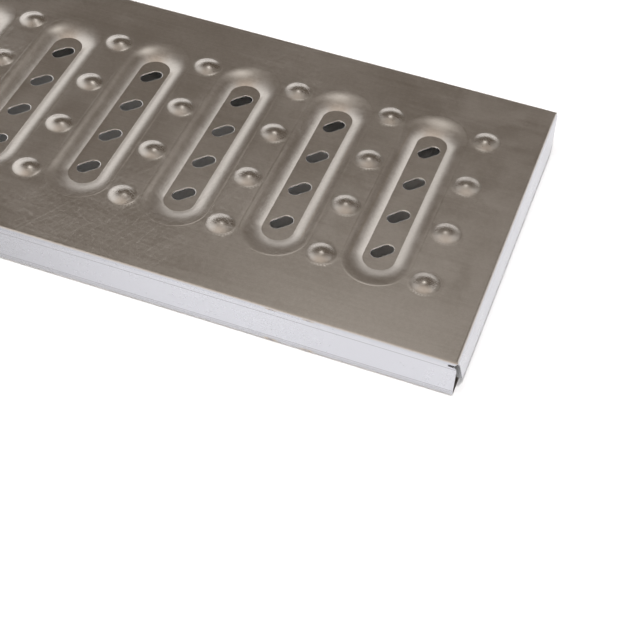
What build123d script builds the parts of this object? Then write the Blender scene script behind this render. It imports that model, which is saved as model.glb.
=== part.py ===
"""Pressed stainless walking plank: one folded deck sheet stiffened underneath by welded cross ribs.

Frame: +X along the plank, +Y across it, +Z up. The origin is under the middle of the plank,
on the plane that the two inward lips stand on.
"""

import math
import os

from build123d import *

# ---------------------------------------------------------------- driving dimensions, mm
length = 1000.0  # over the two end flanges
width = 202.0  # over the two skirts
height = 24.0  # underside of the lips to the top of the deck sheet
sheet = 0.8  # deck sheet

bend_outer = 2.2  # outside radius of the long folds and of the end folds
lip_width = 12.0  # inward return under each skirt
crease_height = 4.6  # the skirt leans inward below this height
crease_run = 0.9  # how far it has leaned in at the bottom

flange_lift = 3.0  # end flange's lower edge above the plane that the lips stand on
flange_run = 1.5  # how far the flange has splayed outward at its lower edge
flange_side_gap = 2.4  # end flange's top corner back from the skirt's outer face
flange_mitre_run = 8.6  # each side of the flange tapers in by this much
flange_corner_radius = 1.5
skirt_setback = 2.2  # skirt ends short of the plank's full length
relief_length = 4.5  # slit between the deck and the skirt, in from the skirt's end
relief_height = 1.2
relief_drop = 0.3  # underside of the deck sheet to the top of the slit
skirt_corner_radius = 3.0  # upper outer corner of the skirt's end, below the slit

trough_pitch = 55.0
end_land_min = 52.0  # least distance from the last trough's centre line to the plank's end
trough_mouth_width = 29.0
trough_floor_width = 16.6
trough_floor_length_gap = 19.0  # the mouth is this much longer than the floor
trough_depth = 3.5
trough_side_land = 37.2  # mouth's end to the outer face of the nearer skirt, pattern centred
pattern_shift = 2.3  # the whole pressing sits this far towards +Y

slots_per_trough = 4
slot_length = 13.0
slot_width = 6.7
slot_lean = 48.0  # degrees from +X towards +Y
slot_share = 0.25  # slot spacing as a share of the floor's length

studs_per_row = 4
stud_base_diameter = 15.2
stud_height = 2.0
stud_share = 0.299  # stud spacing as a share of the mouth's length

rib_count = 4
rib_inset_rows = 1  # stud rows outside the first and the last rib
rib_width = 16.0
rib_lift = 9.2  # rib's lower edges above the plane that the lips stand on
rib_sheet = 1.2
rib_bend_outer = 2.0
rib_notch = 2.4  # web cut back at each end to clear the long fold

bead_leg = 2.5  # fillet weld leg
bead_bulge = 0.35
bead_end_margin = 1.5
stitch_length = 12.0
stitch_root_angle = 30.0  # degrees round the rib's bend where the weld metal starts

cut_margin = 0.8  # how far a cut runs on past the metal
root_overlap = 0.4  # how far a pressed shape is sunk into the sheet that it joins

# ---------------------------------------------------------------- worked out from them
half_length = length / 2
half_width = width / 2
deck_under = height - sheet
flange_depth = height - flange_lift
skirt_inner = half_width - sheet
skirt_end = half_length - skirt_setback
flange_top_x = half_length - flange_run
fold_start_x = flange_top_x - bend_outer

trough_count = int((length - 2 * end_land_min) / trough_pitch) + 1
trough_xs = [(i - (trough_count - 1) / 2) * trough_pitch for i in range(trough_count)]
stud_row_xs = [(i - trough_count / 2) * trough_pitch for i in range(trough_count + 1)]

mouth_length = width - 2 * trough_side_land
floor_length = mouth_length - trough_floor_length_gap
slot_spacing = slot_share * floor_length
stud_spacing = stud_share * mouth_length
side_run = (trough_mouth_width - trough_floor_width) / 2
end_run = trough_floor_length_gap / 2
floor_z = height - trough_depth
floor_under_z = floor_z - sheet


def centred(count, spacing):
    """Positions of count things at a spacing, centred on the pressed pattern."""
    return [pattern_shift + (i - (count - 1) / 2) * spacing for i in range(count)]


def under_offset(run):
    """How far the sheet's lower face stands outside the upper one on a wall with this run."""
    return sheet / trough_depth * (math.hypot(run, trough_depth) - run)


slot_ys = centred(slots_per_trough, slot_spacing)
stud_ys = centred(studs_per_row, stud_spacing)

trough_places = [(x, pattern_shift) for x in trough_xs]
slot_places = [(x, y) for x in trough_xs for y in slot_ys]
stud_places = [(x, y) for x in stud_row_xs for y in stud_ys]

side_offset = under_offset(side_run)
end_offset = under_offset(end_run)

os.makedirs("parts", exist_ok=True)


# ---------------------------------------------------------------- tools for the pressed pattern
# The solid that one trough pushes below the deck.
with BuildPart() as trough_outside:
    with BuildSketch(Plane.XY.offset(deck_under)) as outside_mouth:
        SlotOverall(mouth_length + 2 * end_offset, trough_mouth_width + 2 * side_offset, rotation=90)
    with BuildSketch(Plane.XY.offset(floor_under_z)):
        SlotOverall(floor_length + 2 * end_offset, trough_floor_width + 2 * side_offset, rotation=90)
    loft()
    extrude(outside_mouth.sketch, amount=root_overlap, dir=(0, 0, 1))

# The space inside one trough, open upward.
with BuildPart() as trough_inside:
    with BuildSketch(Plane.XY.offset(height)) as inside_mouth:
        SlotOverall(mouth_length, trough_mouth_width, rotation=90)
    with BuildSketch(Plane.XY.offset(floor_z)):
        SlotOverall(floor_length, trough_floor_width, rotation=90)
    loft()
    extrude(inside_mouth.sketch, amount=cut_margin, dir=(0, 0, 1))

# One anti-slip stud is a spherical cap, with the same cap one sheet lower taken out under it.
stud_radius = stud_base_diameter / 2
cap_radius = (stud_radius**2 + stud_height**2) / (2 * stud_height)
cap_centre_z = height + stud_height - cap_radius
hollow_cap_radius = cap_radius - sheet
hollow_radius = math.sqrt(hollow_cap_radius**2 - (deck_under - cap_centre_z) ** 2)


def cap_profile(sphere_radius, base_radius, base_z, skirt):
    """Half section of a spherical cap, with a short straight skirt below it."""
    half_turn = math.asin(base_radius / sphere_radius) / 2
    middle = (
        sphere_radius * math.sin(half_turn),
        cap_centre_z + sphere_radius * math.cos(half_turn),
    )
    top = (0, cap_centre_z + sphere_radius)
    with BuildSketch() as profile:
        with BuildLine():
            ThreePointArc(top, middle, (base_radius, base_z))
            Polyline((base_radius, base_z), (base_radius, base_z - skirt), (0, base_z - skirt), top)
        make_face()
    return profile.sketch


with BuildPart() as stud_outside:
    with BuildSketch(Plane.XZ):
        add(cap_profile(cap_radius, stud_radius, height, root_overlap))
    revolve(axis=Axis.Z)

with BuildPart() as stud_inside:
    with BuildSketch(Plane.XZ):
        add(cap_profile(hollow_cap_radius, hollow_radius, deck_under, cut_margin))
    revolve(axis=Axis.Z)

# One end flange with its fold, at the +X end.
with BuildPart() as end_flange:
    with BuildSketch(Plane.XZ):
        with BuildLine():
            outside = FilletPolyline(
                (fold_start_x, height),
                (flange_top_x, height),
                (half_length, height - flange_depth),
                radius=bend_outer,
            )
            offset(outside, amount=sheet, side=Side.RIGHT)
        make_face()
    extrude(amount=half_width - flange_side_gap, both=True)
    with BuildSketch(Plane.YZ):
        top_half = half_width - flange_side_gap
        bottom_half = top_half - flange_mitre_run
        with BuildLine():
            Polyline(
                (-top_half, height + cut_margin),
                (-top_half, height - bend_outer),
                (-bottom_half, height - flange_depth),
                (bottom_half, height - flange_depth),
                (top_half, height - bend_outer),
                (top_half, height + cut_margin),
                close=True,
            )
        make_face()
        fillet(vertices().group_by(Axis.Y)[0], radius=flange_corner_radius)
    extrude(amount=length, mode=Mode.INTERSECT)


# What is cut away at the four corners: a slit that lets the folds meet without tearing, the rounded
# upper corner of the skirt's end below it, and the rounded corner of the deck above it.
slit_top = deck_under - relief_drop
slit_bottom = slit_top - relief_height
slit_middle = (slit_top + slit_bottom) / 2
with BuildPart() as corner_relief:
    with BuildSketch(Plane.XZ.offset(half_width - flange_side_gap)):
        with Locations((skirt_end - skirt_corner_radius / 2, slit_middle - skirt_corner_radius / 2)):
            Rectangle(skirt_corner_radius, skirt_corner_radius)
        with Locations((skirt_end - skirt_corner_radius, slit_middle - skirt_corner_radius)):
            Circle(skirt_corner_radius, mode=Mode.SUBTRACT)
        with Locations((skirt_end, slit_middle)):
            SlotOverall(2 * relief_length, relief_height)
        mirror(about=Plane.YZ)
    extrude(amount=flange_side_gap + cut_margin)
    with BuildSketch(Plane.XY.offset(slit_top)):
        with Locations((skirt_end - bend_outer / 2, -half_width + bend_outer / 2)):
            Rectangle(bend_outer, bend_outer)
        with Locations((skirt_end - bend_outer, -half_width + bend_outer)):
            Circle(bend_outer, mode=Mode.SUBTRACT)
        mirror(about=Plane.YZ)
    extrude(amount=height + cut_margin - slit_top)
    mirror(about=Plane.XZ)


# ---------------------------------------------------------------- the deck sheet
with BuildPart() as deck_panel:
    with BuildSketch(Plane.YZ):
        with BuildLine():
            side_walls = FilletPolyline(
                (-half_width + crease_run + lip_width, 0),
                (-half_width + crease_run, 0),
                (-half_width, crease_height),
                (-half_width, height),
                (half_width, height),
                (half_width, crease_height),
                (half_width - crease_run, 0),
                (half_width - crease_run - lip_width, 0),
                radius=bend_outer,
            )
            offset(side_walls, amount=sheet, side=Side.RIGHT)
        make_face()
    extrude(amount=skirt_end, both=True)

    # The deck stops where the end fold starts, between the two skirts.
    fold_gap = skirt_end - fold_start_x
    fold_middle = (skirt_end + fold_start_x) / 2
    with Locations((fold_middle, 0, height), (-fold_middle, 0, height)):
        Box(fold_gap, 2 * (half_width - bend_outer), 2 * bend_outer, mode=Mode.SUBTRACT)
    add(end_flange.part)
    mirror(end_flange.part, about=Plane.YZ)

    add(corner_relief.part, mode=Mode.SUBTRACT)

    with Locations(*trough_places):
        add(trough_outside.part)
    with Locations(*stud_places):
        add(stud_outside.part)
    with Locations(*trough_places):
        add(trough_inside.part, mode=Mode.SUBTRACT)
    with Locations(*stud_places):
        add(stud_inside.part, mode=Mode.SUBTRACT)
    with BuildSketch(Plane.XY.offset(floor_under_z - cut_margin)):
        with Locations(*slot_places):
            SlotOverall(slot_length, slot_width, rotation=slot_lean)
    extrude(amount=sheet + 2 * cut_margin, mode=Mode.SUBTRACT)

deck_panel.part.label = "deck_panel"
export_step(deck_panel.part, "parts/deck_panel.step")


# ---------------------------------------------------------------- cross ribs and their welds
rib_top = deck_under
rib_height = rib_top - rib_lift
rib_half = rib_width / 2
bead_height = rib_height - rib_bend_outer - 2 * bead_end_margin
stitch_ys = centred(studs_per_row - 1, stud_spacing)
row_step = (trough_count - 2 * rib_inset_rows) / (rib_count - 1)
rib_rows = [rib_inset_rows + round(i * row_step) for i in range(rib_count)]


def fillet_bead(corner, along_a, along_b):
    """Section of a fillet weld in a square corner, with a slightly rounded face."""
    end_a = (corner[0] + along_a[0] * bead_leg, corner[1] + along_a[1] * bead_leg)
    end_b = (corner[0] + along_b[0] * bead_leg, corner[1] + along_b[1] * bead_leg)
    out = (along_a[0] + along_b[0], along_a[1] + along_b[1])
    middle = (
        (end_a[0] + end_b[0]) / 2 + out[0] * bead_bulge / math.sqrt(2),
        (end_a[1] + end_b[1]) / 2 + out[1] * bead_bulge / math.sqrt(2),
    )
    with BuildSketch() as section:
        with BuildLine():
            Polyline(end_b, corner, end_a)
            ThreePointArc(end_a, middle, end_b)
        make_face()
    return section.sketch


def stitch_bead(rib_x, side):
    """Section of the weld between the rib's bend and the deck, on one side of the rib."""
    bend_x = rib_x + side * (rib_half - rib_bend_outer)
    bend_z = rib_top - rib_bend_outer
    root = math.radians(stitch_root_angle)
    halfway = (root + math.pi / 2) / 2
    root_x = bend_x + side * rib_bend_outer * math.sin(root)
    toe = (rib_x + side * (rib_half + bead_leg), rib_top)
    root_point = (root_x, bend_z + rib_bend_outer * math.cos(root))
    middle = (
        bend_x + side * rib_bend_outer * math.sin(halfway),
        bend_z + rib_bend_outer * math.cos(halfway),
    )
    bend_end = (rib_x + side * rib_half, bend_z)
    with BuildSketch() as section:
        with BuildLine():
            ThreePointArc(root_point, middle, bend_end)
            Polyline(bend_end, toe, (root_x, rib_top), root_point)
        make_face()
    return section.sketch


for number, row in enumerate(rib_rows, start=1):
    rib_x = stud_row_xs[row]

    # An inverted channel, its web against the deck and its legs ending on the skirts.
    with BuildPart() as cross_rib:
        with BuildSketch(Plane.XZ):
            with BuildLine():
                rib_outside = FilletPolyline(
                    (rib_x - rib_half, rib_lift),
                    (rib_x - rib_half, rib_top),
                    (rib_x + rib_half, rib_top),
                    (rib_x + rib_half, rib_lift),
                    radius=rib_bend_outer,
                )
                offset(rib_outside, amount=rib_sheet, side=Side.RIGHT)
            make_face()
        extrude(amount=skirt_inner, both=True)
        with Locations((rib_x, skirt_inner, rib_top), (rib_x, -skirt_inner, rib_top)):
            Box(2 * rib_width, 2 * rib_notch, 2 * rib_notch, mode=Mode.SUBTRACT)
    cross_rib.part.label = f"cross_rib_{number}"
    export_step(cross_rib.part, f"parts/cross_rib_{number}.step")

    # Upright beads join the legs to the skirts, and short stitches join the bend to the deck.
    with BuildPart() as rib_welds:
        with BuildSketch(Plane.XY.offset(rib_lift + bead_end_margin)):
            for side_x in (1, -1):
                for side_y in (1, -1):
                    corner = (rib_x + side_x * rib_half, side_y * skirt_inner)
                    add(fillet_bead(corner, (side_x, 0), (0, -side_y)))
        extrude(amount=bead_height)
        for stitch_y in stitch_ys:
            with BuildSketch(Plane.XZ.offset(-stitch_y)):
                for side_x in (1, -1):
                    add(stitch_bead(rib_x, side_x))
            extrude(amount=stitch_length / 2, both=True)
    rib_welds.part.label = f"cross_rib_{number}_welds"
    export_step(rib_welds.part, f"parts/cross_rib_{number}_welds.step")
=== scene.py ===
"""Looks for a pressed stainless walking plank: the sheet, the ribs under it and their welds."""

import logging
import math
from collections.abc import Callable, Iterable, Sequence
from dataclasses import dataclass, field
from enum import Enum
from typing import Any

import bpy
import numpy as np
from mathutils import Matrix, Vector
from mathutils.geometry import delaunay_2d_cdt


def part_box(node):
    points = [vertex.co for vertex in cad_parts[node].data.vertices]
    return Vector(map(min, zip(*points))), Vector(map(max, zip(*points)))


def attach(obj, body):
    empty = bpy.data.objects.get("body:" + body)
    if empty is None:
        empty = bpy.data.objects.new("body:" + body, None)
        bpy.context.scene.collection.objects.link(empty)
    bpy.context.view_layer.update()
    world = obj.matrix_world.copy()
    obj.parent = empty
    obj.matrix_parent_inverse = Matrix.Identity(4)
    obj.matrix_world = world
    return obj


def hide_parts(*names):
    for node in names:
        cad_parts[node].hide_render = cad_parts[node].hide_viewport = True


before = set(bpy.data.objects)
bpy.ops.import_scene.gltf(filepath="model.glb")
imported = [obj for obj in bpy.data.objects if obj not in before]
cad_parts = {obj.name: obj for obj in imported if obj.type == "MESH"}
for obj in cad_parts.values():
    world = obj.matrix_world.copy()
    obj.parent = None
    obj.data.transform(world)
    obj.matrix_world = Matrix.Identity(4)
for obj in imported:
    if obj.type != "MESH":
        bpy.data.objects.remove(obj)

MM = 0.001  # metres
FLOOR_GAP = 0.0001  # metres between the plank's foot and the studio's floor
LOG = logging.getLogger("plank")

Array = np.ndarray


# ------------------------------------------------------------------ shader writing
class Value:
    """One number that changes over a surface, as a socket with Python's arithmetic."""

    def __init__(self, graph: "Graph", socket: bpy.types.NodeSocket) -> None:
        """Keeps the socket and the graph that it belongs to."""
        self.graph = graph
        self.socket = socket

    def math(self, operation: str, *others: Any) -> "Value":
        """Adds one Math node.

        Args:
            operation: the node's operation.
            others: the node's second and third values.

        Returns:
            The node's result.
        """
        inputs = dict(enumerate([self, *others]))
        made = self.graph.node("ShaderNodeMath", {"operation": operation}, inputs)
        return Value(self.graph, made.outputs[0])

    def __add__(self, other: Any) -> "Value":
        """Sum."""
        return self.math("ADD", other)

    __radd__ = __add__

    def __sub__(self, other: Any) -> "Value":
        """Difference."""
        return self.math("SUBTRACT", other)

    def __rsub__(self, other: Any) -> "Value":
        """Difference from a plain number."""
        return (self * -1.0) + other

    def __mul__(self, other: Any) -> "Value":
        """Product."""
        return self.math("MULTIPLY", other)

    __rmul__ = __mul__

    def __truediv__(self, other: Any) -> "Value":
        """Quotient."""
        return self.math("DIVIDE", other)

    def __abs__(self) -> "Value":
        """Size without sign."""
        return self.math("ABSOLUTE")

    def floor(self) -> "Value":
        """Whole part."""
        return self.math("FLOOR")

    def above(self, least: Any) -> "Value":
        """The larger of this and another."""
        return self.math("MAXIMUM", least)

    def below(self, most: Any) -> "Value":
        """The smaller of this and another."""
        return self.math("MINIMUM", most)

    def root(self) -> "Value":
        """Square root."""
        return self.math("SQRT")

    def ramp(self, start: float, end: float, low: float = 0.0, high: float = 1.0) -> "Value":
        """Runs smoothly from low at start to high at end, and stays there.

        Args:
            start: value at which the result is low.
            end: value at which the result is high.
            low: first result.
            high: last result.

        Returns:
            The smooth step.
        """
        made = self.graph.node(
            "ShaderNodeMapRange",
            {"interpolation_type": "SMOOTHSTEP"},
            {"Value": self, "From Min": start, "From Max": end, "To Min": low, "To Max": high},
        )
        return Value(self.graph, made.outputs["Result"])

    def line(self, middle: float, half_width: float) -> "Value":
        """A soft line: 1 at middle, 0 further away than half_width."""
        return abs(self - middle).ramp(half_width, 0.0)

    def cell(self, pitch: float) -> "Value":
        """Distance with sign to the nearest whole multiple of pitch."""
        return self - (self / pitch + 0.5).floor() * pitch


class Graph:
    """The nodes of one material, or of the world."""

    def __init__(self, owner: bpy.types.ID, output: str = "ShaderNodeOutputMaterial") -> None:
        """Empties the owner's node tree, and starts it with an output of that kind."""
        self.owner = owner
        owner.use_nodes = True
        self.tree = owner.node_tree
        self.tree.nodes.clear()
        self.output = self.node(output)

    def node(self, kind: str, settings: dict[str, Any] | None = None,
             inputs: dict[Any, Any] | None = None) -> bpy.types.Node:
        """Adds a node, sets its settings and then its sockets.

        Args:
            kind: the node's type.
            settings: attributes to set first.
            inputs: values, Values or sockets, by socket name or number.

        Returns:
            The node.
        """
        made = self.tree.nodes.new(kind)
        for name, value in (settings or {}).items():
            setattr(made, name, value)
        for name, value in (inputs or {}).items():
            socket = made.inputs[name]
            if isinstance(value, Value):
                self.tree.links.new(value.socket, socket)
            elif isinstance(value, bpy.types.NodeSocket):
                self.tree.links.new(value, socket)
            elif socket.type == "RGBA" and len(value) == 3:
                socket.default_value = (*value, 1.0)
            else:
                socket.default_value = value
        return made

    def place(self) -> bpy.types.NodeSocket:
        """The point on the object, in metres, in the row's frame."""
        return self.node("ShaderNodeTexCoord").outputs["Object"]

    def axes(self, point: bpy.types.NodeSocket) -> tuple[Value, Value, Value]:
        """Splits a point in metres into its x, y and z in millimetres."""
        split = self.node("ShaderNodeSeparateXYZ", None, {0: point})
        return tuple(Value(self, out) * (1 / MM) for out in split.outputs)

    def stretched(self, point: bpy.types.NodeSocket, scale: Sequence[float],
                  turn: float = 0.0) -> bpy.types.NodeSocket:
        """The point scaled along each axis after a turn about Z, in degrees."""
        turned = self.node("ShaderNodeVectorRotate", {"rotation_type": "Z_AXIS"},
                           {"Vector": point, "Angle": math.radians(turn)})
        scaled = self.node("ShaderNodeVectorMath", {"operation": "MULTIPLY"},
                           {0: turned.outputs[0], 1: tuple(scale)})
        return scaled.outputs[0]

    def noise(self, point: bpy.types.NodeSocket, scale: float, detail: float = 3.0,
              roughness: float = 0.55, distortion: float = 0.0) -> Value:
        """Noise from 0 to 1; scale is in waves per metre."""
        made = self.node(
            "ShaderNodeTexNoise", None,
            {"Vector": point, "Scale": scale, "Detail": detail, "Roughness": roughness,
             "Distortion": distortion},
        )
        return Value(self, made.outputs["Fac"])

    def cracks(self, point: bpy.types.NodeSocket, scale: float, randomness: float = 1.0) -> Value:
        """Distance to the nearest border of a cell pattern."""
        made = self.node(
            "ShaderNodeTexVoronoi", {"feature": "DISTANCE_TO_EDGE"},
            {"Vector": point, "Scale": scale, "Randomness": randomness},
        )
        return Value(self, made.outputs["Distance"])

    def mix(self, factor: Any, first: Any, second: Any) -> bpy.types.NodeSocket:
        """Mixes two colours.

        Args:
            factor: 0 for the first, 1 for the second.
            first: colour or socket.
            second: colour or socket.

        Returns:
            The mixed colour's socket.
        """
        made = self.node(
            "ShaderNodeMix", {"data_type": "RGBA", "clamp_factor": True},
            {0: factor, 6: first, 7: second},
        )
        return made.outputs[2]

    def bump(self, height: Value, distance: float, strength: float) -> bpy.types.NodeSocket:
        """Surface relief: height 1 stands distance metres proud."""
        inputs = {"Height": height, "Distance": distance, "Strength": strength}
        return self.node("ShaderNodeBump", None, inputs).outputs[0]

    def surface(self, **sockets: Any) -> bpy.types.Material:
        """Ends the material in a Principled shader.

        Args:
            sockets: the shader's sockets, with spaces in their names as underscores.

        Returns:
            The finished material.
        """
        named = {name.replace("_", " "): value for name, value in sockets.items()}
        self.end(self.node("ShaderNodeBsdfPrincipled", None, named))
        return self.owner

    def end(self, shader: bpy.types.Node) -> None:
        """Joins the last shader to the output."""
        self.tree.links.new(shader.outputs[0], self.output.inputs["Surface"])


# ------------------------------------------------------------------ sheet metal geometry
FOLD_STEP = 0.45  # mm between the lines of a mesh round a fold
FAR = 1e9  # a distance in mm that is larger than any real one


def linked(name: str, data: bpy.types.ID) -> bpy.types.Object:
    """Makes an object of that data and puts it in the scene."""
    made = bpy.data.objects.new(name, data)
    bpy.context.scene.collection.objects.link(made)
    return made


class FoldPath:
    """A bent line of straight runs and round folds, followed by its own length.

    It starts at its first point, and its left side is the outside of the sheet.
    """

    def __init__(self, corners: Sequence[tuple[float, float]], radius: float) -> None:
        """Rounds every inner corner to the radius."""
        points = [np.array(corner, float) for corner in corners]
        self.starts: list[float] = []
        self.pieces: list[tuple[str, Array, Array, float, float, float]] = []
        self.length = 0.0
        cursor = points[0]
        for before, corner, after in zip(points, points[1:], points[2:]):
            along = (corner - before) / np.linalg.norm(corner - before)
            onward = (after - corner) / np.linalg.norm(after - corner)
            turn = math.atan2(along[0] * onward[1] - along[1] * onward[0], float(along @ onward))
            setback = radius * math.tan(abs(turn) / 2)
            bend = corner - along * setback
            self._add("run", cursor, along, float(np.linalg.norm(bend - cursor)))
            self._add("fold", bend, along, radius * abs(turn), turn, radius)
            cursor = corner + onward * setback
        last = (points[-1] - cursor) / np.linalg.norm(points[-1] - cursor)
        self._add("run", cursor, last, float(np.linalg.norm(points[-1] - cursor)))

    def _add(self, kind: str, start: Array, along: Array, length: float, turn: float = 0.0,
             radius: float = 0.0) -> None:
        """Puts one run or fold at the end of the path."""
        self.starts.append(self.length)
        self.pieces.append((kind, start, along, length, turn, radius))
        self.length += length

    def folds(self) -> list[tuple[float, float]]:
        """Where each fold starts and ends, as lengths along the path."""
        return [(start, start + piece[3]) for start, piece in zip(self.starts, self.pieces)
                if piece[0] == "fold"]

    def at(self, s: Array) -> tuple[Array, Array]:
        """Points on the path.

        Args:
            s: lengths along the path; lengths past an end follow its straight run.

        Returns:
            The points, and the outward direction at each of them.
        """
        point = np.zeros((*s.shape, 2))
        outward = np.zeros((*s.shape, 2))
        which = np.clip(np.searchsorted(self.starts, s, side="right") - 1, 0, len(self.pieces) - 1)
        for index, (kind, start, along, _, turn, radius) in enumerate(self.pieces):
            here = which == index
            t = (s[here] - self.starts[index])[:, None]
            left = np.array([-along[1], along[0]])
            if kind == "run":
                point[here] = start + t * along
                outward[here] = left
                continue
            side = math.copysign(1.0, turn)
            angle = t / radius
            centre = start + left * side * radius
            outward[here] = np.cos(angle) * left - side * np.sin(angle) * along
            point[here] = centre - side * radius * outward[here]
        return point, outward


@dataclass
class SheetMesh:
    """A closed sheet of even thickness, built from a flat pattern and where it is folded to."""

    name: str
    flat: Array
    faces: list[tuple[int, ...]]
    thickness: float
    fold: Callable[[Array, Array], Array]
    nudge: float = 0.01
    sharp_cosine: float = 0.9

    def outside(self) -> tuple[Array, Array]:
        """The outer surface's points and normals, in millimetres."""
        keep = self.flat.copy()
        across = self.fold(self.flat + (self.nudge, 0.0), keep) - self.fold(
            self.flat - (self.nudge, 0.0), keep)
        along = self.fold(self.flat + (0.0, self.nudge), keep) - self.fold(
            self.flat - (0.0, self.nudge), keep)
        normal = np.cross(across, along)
        normal /= np.linalg.norm(normal, axis=1)[:, None]
        return self.fold(self.flat, keep), normal

    def free_edges(self) -> list[tuple[int, int]]:
        """The pattern's edges that only one face has, in that face's direction."""
        seen: dict[tuple[int, int], tuple[int, int] | None] = {}
        for face in self.faces:
            for a, b in zip(face, (*face[1:], face[0])):
                key = (min(a, b), max(a, b))
                seen[key] = None if key in seen else (a, b)
        return [edge for edge in seen.values() if edge is not None]

    def build(self) -> bpy.types.Object:
        """Makes the closed mesh, with exact normals on each face's corners.

        Returns:
            The new object, in metres.
        """
        outer, normal = self.outside()
        inner = outer - normal * self.thickness
        count = len(outer)
        edges = self.free_edges()
        faces = list(self.faces)
        faces += [tuple(reversed([i + count for i in face])) for face in self.faces]
        walls = [(b, a, a + count, b + count) for a, b in edges]
        corner = np.array([i for face in faces for i in face])
        normals = np.vstack([normal, -normal])[corner]
        points = np.vstack([outer, inner])
        wall = np.array(walls)
        start = points[wall[:, 0]]
        wall_normal = np.cross(points[wall[:, 1]] - start, points[wall[:, 3]] - start)
        wall_normal /= np.maximum(np.linalg.norm(wall_normal, axis=1), 1e-9)[:, None]
        soft = np.zeros_like(points)
        for column in range(4):
            np.add.at(soft, wall[:, column], wall_normal)
        soft /= np.maximum(np.linalg.norm(soft, axis=1), 1e-9)[:, None]
        wall_corner = soft[wall.ravel()]
        own = np.repeat(wall_normal, 4, axis=0)
        sharp = np.einsum("ij,ij->i", wall_corner, own) < self.sharp_cosine
        wall_corner[sharp] = own[sharp]
        mesh = bpy.data.meshes.new(self.name)
        mesh.from_pydata((points * MM).tolist(), [], faces + walls)
        mesh.shade_smooth()
        mesh.normals_split_custom_set(np.vstack([normals, wall_corner]).tolist())
        return linked(self.name, mesh)


def centred(count: int, pitch: float, middle: float = 0.0) -> list[float]:
    """Values a pitch apart, spread evenly about a middle."""
    return [middle + (i - (count - 1) / 2) * pitch for i in range(count)]


def spaced(start: float, end: float, step: float) -> list[float]:
    """Evenly spaced values from start to end, both included, no further apart than step."""
    count = max(1, math.ceil(abs(end - start) / step - 1e-9))
    return np.linspace(start, end, count + 1).tolist()


def stadium(half_width: float, straight: float, arc_steps: int, step: float) -> Array:
    """Outline of a long round-ended shape along Y.

    Args:
        half_width: radius of its ends.
        straight: half the length of its straight sides.
        arc_steps: pieces in each round end.
        step: longest piece of a straight side.

    Returns:
        Points in order, counter-clockwise.
    """
    end = np.linspace(0.0, math.pi, arc_steps + 1)
    arc = np.stack([half_width * np.cos(end), half_width * np.sin(end) + straight], axis=1)
    side = [(-half_width, y) for y in spaced(straight, -straight, step)[1:-1]]
    half = np.vstack([arc, np.array(side).reshape(-1, 2)])
    return np.vstack([half, -half])


def turned(points: Array, degrees: float) -> Array:
    """Points turned about the origin, counter-clockwise."""
    c, s = math.cos(math.radians(degrees)), math.sin(math.radians(degrees))
    return points @ np.array([[c, s], [-s, c]])


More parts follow.
